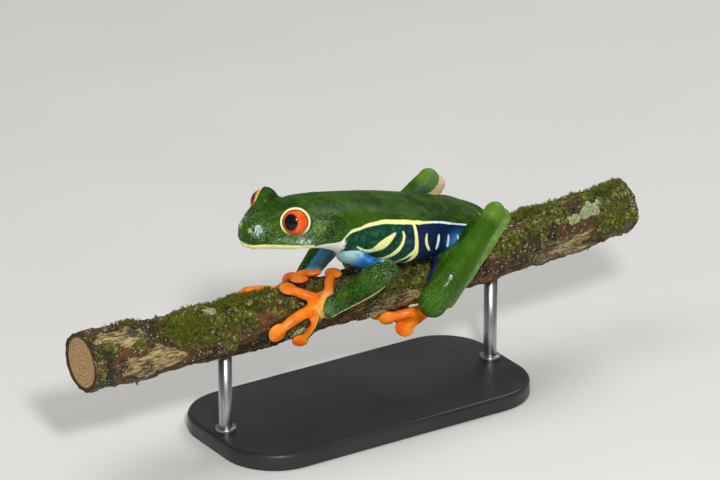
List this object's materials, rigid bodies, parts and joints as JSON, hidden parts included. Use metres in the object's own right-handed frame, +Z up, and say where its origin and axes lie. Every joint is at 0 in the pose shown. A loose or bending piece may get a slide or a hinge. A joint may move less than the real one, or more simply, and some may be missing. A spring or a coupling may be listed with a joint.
{
  "type": "red-eyed tree frog",
  "caption": "Life-size model of a red-eyed tree frog gripping a mossy branch, held over a flat display base by rods.",
  "frame": {"origin": "centre of the stand base's flat underside, on the floor", "axes": "+Z up, +Y along the branch from the frog's head to its tail, +X to the frog's left"},
  "size_m": [0.04, 0.15, 0.0588],
  "materials": {
    "green_skin": null,
    "blue_skin": null,
    "orange_skin": null,
    "red_eye": "red iris with a dark upright pupil under a clear wet cornea",
    "mossy_bark": "rough damp bark with moss and lichen",
    "black_paint": "satin black paint",
    "brushed_steel": "satin steel rod"
  },
  "bodies": {
    "root": {"head": "green_skin", "lower_jaw": "green_skin", "trunk": "green_skin", "eye_left": "red_eye", "eye_right": "red_eye", "upper_arm_left": "blue_skin", "forearm_left": "green_skin", "palm_left": "orange_skin", "finger_left_1": "orange_skin", "finger_left_2": "orange_skin", "finger_left_3": "orange_skin", "finger_left_4": "orange_skin", "upper_arm_right": "blue_skin", "forearm_right": "green_skin", "palm_right": "orange_skin", "finger_right_1": "orange_skin", "finger_right_2": "orange_skin", "finger_right_3": "orange_skin", "finger_right_4": "orange_skin", "thigh_left": "green_skin", "shank_left": "green_skin", "tarsus_left": "green_skin", "foot_left": "orange_skin", "toe_left_1": "orange_skin", "toe_left_2": "orange_skin", "toe_left_3": "orange_skin", "toe_left_4": "orange_skin", "toe_left_5": "orange_skin", "thigh_right": "green_skin", "shank_right": "green_skin", "tarsus_right": "green_skin", "foot_right": "orange_skin", "toe_right_1": "orange_skin", "toe_right_2": "orange_skin", "toe_right_3": "orange_skin", "toe_right_4": "orange_skin", "toe_right_5": "orange_skin", "branch": "mossy_bark", "stand_base": "black_paint", "stand_rod_front": "brushed_steel", "stand_rod_back": "brushed_steel"}
  },
  "joints": []
}
